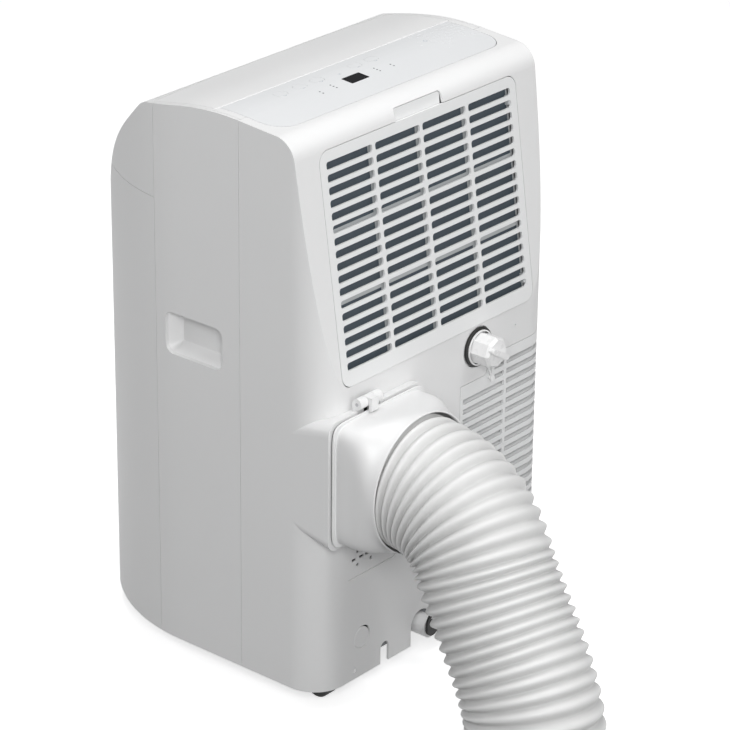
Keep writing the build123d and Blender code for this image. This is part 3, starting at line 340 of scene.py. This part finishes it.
def settle(obj, body, slotName, replaced=()):
    # a new piece gets its slot's material and its body, and the frame's nodes that it stands for are hidden
    obj.data.materials.append(materials[slotName])
    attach(obj, body)
    if replaced:
        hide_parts(*replaced)


# ---- exhaust duct
duct = {
    "pitch": 0.0148, "packed": 0.0105, "packedRun": 0.2, "crest": 0.0838, "ribDepth": 0.0066,
    "fullness": 0.7, "around": 112, "perRib": 8, "film": 0.0007, "wander": 0.0006,
}
connectorLow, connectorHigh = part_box("duct_connector")
cuffLow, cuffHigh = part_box("hose_cuff")
ductX = (connectorLow.x + connectorHigh.x) / 2
ductZ = (connectorLow.z + connectorHigh.z) / 2
cuffX = (cuffLow.x + cuffHigh.x) / 2
cuffY = (cuffLow.y + cuffHigh.y) / 2
flangeClearance = 0.0004
socketY = connectorLow.y - flangeClearance
ductRoute = np.array([
    (ductX, socketY + 0.040, ductZ),
    (ductX, socketY + 0.095, ductZ),
    (ductX + 0.0048, socketY + 0.154, ductZ - 0.031),
    (ductX + 0.0148, socketY + 0.196, ductZ - 0.105),
    (cuffX, cuffY, 0.100),
    (cuffX, cuffY, cuffHigh.z),
])


def smoothRoute(corners, rounds=7):
    # each run is cut at a quarter and three quarters of its length, over and over: a quadratic B-spline
    line = corners
    for step in range(rounds):
        cuts = np.stack([0.75 * line[:-1] + 0.25 * line[1:], 0.25 * line[:-1] + 0.75 * line[1:]], 1)
        line = np.vstack([line[:1], cuts.reshape(-1, 3)[1:-1], line[-1:]])
    return line


def evenPoints(line, count):
    # points one even step apart along the line, and how far along it each one is
    steps = np.linalg.norm(np.diff(line, axis=0), axis=1)
    run = np.concatenate([[0.0], np.cumsum(steps)])
    place = np.linspace(0.0, run[-1], count)
    return np.stack([np.interp(place, run, line[:, k]) for k in range(3)], 1), place


def tubeAxes(line):
    # tangent, and two directions square to it, the first also square to X
    tangent = np.gradient(line, axis=0)
    tangent /= np.linalg.norm(tangent, axis=1)[:, None]
    side = np.cross(tangent, (-1.0, 0.0, 0.0))
    side /= np.linalg.norm(side, axis=1)[:, None]
    return tangent, side, np.cross(tangent, side)


def ribProfile(turns, fullness):
    # a raised cosine, 1 on the crest and 0 in the valley once each whole turn, with a fuller crest
    return (0.5 + 0.5 * np.cos(2 * np.pi * turns)) ** fullness


def makeDuct():
    # tube round the route; its radius rises in one spiral rib, packed closer together near the mouth
    fineLine = smoothRoute(ductRoute)
    length = np.linalg.norm(np.diff(fineLine, axis=0), axis=1).sum()
    rows = int(length / duct["packed"] * duct["perRib"])
    line, place = evenPoints(fineLine, rows)
    tangent, side, other = tubeAxes(line)
    angle = np.linspace(0, 2 * np.pi, duct["around"], endpoint=False)
    pitch = duct["packed"] + (duct["pitch"] - duct["packed"]) * np.minimum(place / duct["packedRun"], 1.0)
    wound = np.cumsum(place[1] / pitch)
    turns = wound[:, None] + angle[None, :] / (2 * np.pi)
    height = ribProfile(turns, duct["fullness"])
    wander = duct["wander"] * np.sin(3 * angle + 40 * place[:, None])
    radius = duct["crest"] - duct["ribDepth"] * (1 - height) + wander * height
    ring = np.cos(angle)[None, :, None] * side[:, None, :] + np.sin(angle)[None, :, None] * other[:, None, :]
    obj = meshFromGrid("exhaustDuct", line[:, None, :] + radius[:, :, None] * ring, False, True, 80.0)
    marks = obj.data.attributes.new("ribHeight", "FLOAT", "POINT")
    marks.data.foreach_set("value", height.astype(np.float32).ravel())
    film = obj.modifiers.new("film", "SOLIDIFY")
    film.thickness = duct["film"]
    film.offset = -1.0
    print("duct", round(length, 3), "m,", rows * duct["around"], "points")
    return obj


settle(makeDuct(), "cabinet", "hose_white", ["exhaust_hose"])


# ---- connector: square flange, body that turns round towards the mouth, rolled lip
connector = {
    "flange": 0.004, "flangePower": 11.0, "bodyPower": 8.5, "inset": 0.0045, "wall": 0.0025,
    "insetShareZ": 0.6, "squareFade": 1.3, "bore": 0.076, "around": 224, "bodyRows": 40,
    "edge": 0.0007, "gap": 0.0011, "flangeHalf": (0.0855, 0.0825), "gapShadeInset": 0.0012, "gapShadeBore": 0.0765,
}


def roundedSquare(angle, halfX, halfZ, power):
    # superellipse radius: a high power is a square with round corners, and 2 is an ellipse
    across = (np.abs(np.cos(angle)) / halfX) ** power + (np.abs(np.sin(angle)) / halfZ) ** power
    return across ** (-1.0 / power)


def makeConnector():
    # rows (depth, half width, half height, power) run out along the outside and back along the inside
    mouth = connectorHigh.y - connectorLow.y
    lipR = (connectorHigh.z - connectorLow.z) / 2
    flangeX, flangeZ = connector["flangeHalf"]
    bodyX = flangeX - connector["inset"]
    bodyZ = flangeZ - connector["inset"] * connector["insetShareZ"]
    plate = connector["flange"]
    edge = connector["edge"]
    wall = connector["wall"]
    share = np.linspace(0, 1, connector["bodyRows"])
    swell = share ** 2 * (3 - 2 * share)
    depth = plate + edge + share * (mouth - plate - 3 * edge)
    squareness = 2.0 + (connector["bodyPower"] - 2.0) * (1 - swell) ** connector["squareFade"]
    body = np.stack([depth, bodyX + (lipR - bodyX) * swell, bodyZ + (lipR - bodyZ) * swell, squareness], 1)
    inner = body[::-1].copy()
    inner[:, 1:3] -= wall
    inner = inner[inner[:, 0] > plate + wall]
    power = connector["flangePower"]
    bore = connector["bore"]
    gap = connector["gap"]
    rows = np.vstack([
        [(gap, bore, bore, 2), (gap, flangeX - edge, flangeZ - edge, power),
         (gap + edge, flangeX, flangeZ, power), (plate - edge, flangeX, flangeZ, power),
         (plate, flangeX - edge, flangeZ - edge, power),
         (plate, bodyX + edge, bodyZ + edge, connector["bodyPower"])],
        body,
        [(mouth - edge * 0.6, lipR - 0.3 * edge, lipR - 0.3 * edge, 2), (mouth, lipR - edge, lipR - edge, 2),
         (mouth, lipR - wall + edge, lipR - wall + edge, 2)],
        inner,
        [(plate + 2 * edge, bore + edge, bore + edge, 2), (plate + edge, bore, bore, 2)],
    ])
    angle = np.linspace(0, 2 * np.pi, connector["around"], endpoint=False)
    radius = roundedSquare(angle[None, :], rows[:, 1:2], rows[:, 2:3], rows[:, 3:4])
    grid = np.stack([ductX + radius * np.cos(angle), connectorLow.y + np.repeat(rows[:, :1], len(angle), 1),
                     ductZ + radius * np.sin(angle)], -1)
    return meshFromGrid("ductConnector", grid[:, ::-1], True, True, 35.0)


settle(makeConnector(), "cabinet", "duct_white", ["duct_connector"])


def makeConnectorGapShade():
    # flat black ring between the socket and the connector's flange: painted shadow, a dark piece put in the
    # gap where shade falls
    halfX, halfZ = connector["flangeHalf"]
    angle = np.linspace(0, 2 * np.pi, connector["around"], endpoint=False)
    inset = connector["gapShadeInset"]
    outer = roundedSquare(angle, halfX - inset, halfZ - inset, connector["flangePower"])
    inner = np.full(len(angle), connector["gapShadeBore"])
    depth = np.array([0.0, 0.0, connector["gap"], connector["gap"]])
    radius = np.stack([inner, outer, outer, inner])
    grid = np.stack([ductX + radius * np.cos(angle), connectorLow.y + depth[:, None] + 0 * radius,
                     ductZ + radius * np.sin(angle)], -1)
    return meshFromGrid("connectorGapShade", grid[:, ::-1], True, True, 35.0)


# the black ring in the flange gap is painted shadow, given the black rubber finish
settle(makeConnectorGapShade(), "cabinet", "plug_rubber")
print("duct and connector")


def ringOf(name, centre, majorR, minorR, around=64, section=20):
    # a round section carried round a circle that faces along Y
    turn = np.linspace(0, 2 * np.pi, around, endpoint=False)[:, None]
    tube = np.linspace(0, 2 * np.pi, section, endpoint=False)[None, :]
    reach = majorR + minorR * np.cos(tube)
    flat = np.stack([reach * np.cos(turn), minorR * np.sin(tube) + 0 * turn, reach * np.sin(turn)], -1)
    return meshFromGrid(name, flat + np.array(centre), True, True)


# ---- rubber seal behind the drain cap
capLow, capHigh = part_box("drain_cap")
drainX = (capLow.x + capHigh.x) / 2
drainZ = (capLow.z + capHigh.z) / 2
seal = {"majorR": 0.0238, "minorR": 0.0023, "back": 0.0002}
sealCentre = (drainX, capLow.y - seal["back"], drainZ)
settle(ringOf("drainSeal", sealCentre, seal["majorR"], seal["minorR"]), "cabinet", "plug_rubber")


# ---- louvre blades behind the lower grille's slots, each rising inwards from its slot's lower edge;
# ends: how far a blade stops short of the grille's inner edge and of its side edge
louvre = {
    "pitch": 0.0136, "count": 22, "slot": 0.0070, "firstRow": 0.0100, "deep": 0.0080, "rise": 0.0030,
    "thick": 0.0016, "wall": 0.0032, "cornerR": 0.045, "ends": (0.006, 0.005), "arcSteps": 24,
}


def makeLouvres():
    # a slanting closed profile carried along the rear face, round the corner and along the side
    low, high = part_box("lower_grille")
    cornerR = louvre["cornerR"]
    sideX = low.x
    backY = high.y
    turn = np.linspace(0, np.pi / 2, louvre["arcSteps"])
    around = np.stack([-np.sin(turn), np.cos(turn)], 1)
    arc = np.array((sideX + cornerR, backY - cornerR)) + cornerR * around
    path = np.vstack([[(high.x - louvre["ends"][0], backY)], arc, [(sideX, low.y + louvre["ends"][1])]])
    outward = np.vstack([[(0.0, 1.0)], around, [(-1.0, 0.0)]])
    near, deep, rise, thick = louvre["wall"], louvre["deep"], louvre["rise"], louvre["thick"]
    sill = low.z + louvre["firstRow"] - louvre["slot"] / 2 - thick
    depth = np.array([near, near, near + deep, near + deep])
    level = sill + np.array([0.0, thick, thick + rise, rise])
    flat = path[:, None, :] - depth[None, :, None] * outward[:, None, :]
    grid = np.concatenate([flat, np.broadcast_to(level[None, :, None], (*flat.shape[:2], 1))], -1)
    blades = meshFromGrid("grilleLouvres", grid, False, True)
    rows = blades.modifiers.new("rows", "ARRAY")
    rows.use_relative_offset = False
    rows.use_constant_offset = True
    rows.constant_offset_displace = (0, 0, louvre["pitch"])
    rows.count = louvre["count"]
    return blades


settle(makeLouvres(), "cabinet", "grille_white")
print("drain seal and louvres")


# ---- floor, light and camera
def makeFloor():
    # a white sheet that gives no light to the other pieces' matt surfaces
    reach = 6.0
    centre = (cadLow + cadHigh) / 2
    corners = np.array([[(-1, -1), (1, -1)], [(-1, 1), (1, 1)]], float) * reach
    grid = np.concatenate([corners + np.array((centre.x, centre.y)), np.zeros((2, 2, 1))], -1)
    floor = meshFromGrid("studioFloor", grid, False, False)
    material, shader, place = startMaterial("studioPaper")
    cloud = place.noise(1.5, 2.0)
    feed(shader, "Base Color", cloud.blend((0.90, 0.90, 0.90, 1), (0.92, 0.92, 0.92, 1)))
    shader.inputs["Roughness"].default_value = 0.9
    shader.inputs["Emission Color"].default_value = (1, 1, 1, 1)
    shader.inputs["Emission Strength"].default_value = 0.62
    floor.data.materials.append(material)
    floor.visible_diffuse = False


def makeWorld():
    world = bpy.data.worlds.new("studio")
    scene.world = world
    world.use_nodes = True
    backdrop = world.node_tree.nodes["Background"]
    backdrop.inputs["Color"].default_value = (0.97, 0.985, 1.0, 1)
    backdrop.inputs["Strength"].default_value = 0.11


def areaLight(name, place, target, size, power):
    lamp = bpy.data.lights.new(name, "AREA")
    lamp.shape = "DISK"
    lamp.size = size
    lamp.energy = power
    holder = bpy.data.objects.new(name, lamp)
    holder.location = place
    holder.rotation_euler = (Vector(target) - Vector(place)).to_track_quat("-Z", "Y").to_euler()
    scene.collection.objects.link(holder)


cameraFacts = {
    "place": (2.86896, 2.47223, 2.07497), "azimuth": 129.96, "elevation": 24.57, "roll": 0.61,
    "lens": 163.13, "sensor": 36.0, "farClip": 50.0,
}


def makeCamera():
    # looks back along its own azimuth and elevation, turned a little about the line of sight
    azimuth, elevation, roll = (math.radians(cameraFacts[k]) for k in ("azimuth", "elevation", "roll"))
    level = math.cos(elevation)
    back = Vector((math.sin(azimuth) * level, -math.cos(azimuth) * level, math.sin(elevation)))
    right = (-back).cross(Vector((0, 0, 1))).normalized()
    up = right.cross(-back)
    leanRight = math.cos(roll) * right + math.sin(roll) * up
    leanUp = -math.sin(roll) * right + math.cos(roll) * up
    data = bpy.data.cameras.new("studioCamera")
    data.lens = cameraFacts["lens"]
    data.sensor_width = cameraFacts["sensor"]
    data.clip_end = cameraFacts["farClip"]
    camera = bpy.data.objects.new("studioCamera", data)
    camera.matrix_world = Matrix((
        (leanRight.x, leanUp.x, back.x, cameraFacts["place"][0]),
        (leanRight.y, leanUp.y, back.y, cameraFacts["place"][1]),
        (leanRight.z, leanUp.z, back.z, cameraFacts["place"][2]),
        (0, 0, 0, 1),
    ))
    scene.collection.objects.link(camera)
    scene.camera = camera


makeFloor()
makeWorld()
areaLight("keyLight", (-1.2, 2.6, 3.4), (0, 0, 0.4), 2.2, 26.5)
areaLight("topLight", (0, 0.2, 3.2), (0, 0, 0.7), 2.0, 44.5)
areaLight("lowRearLight", (0.5, 3.5, 0.8), (0, 0, 0.4), 2.0, 26)
areaLight("frontFill", (2.0, -2.6, 2.0), (0, 0, 0.4), 2.0, 26)
areaLight("broadLight", (2.8, 2.5, 2.4), (0, 0, 0.4), 1.5, 83)
makeCamera()
scene.view_settings.view_transform = "Standard"
print("stage set")
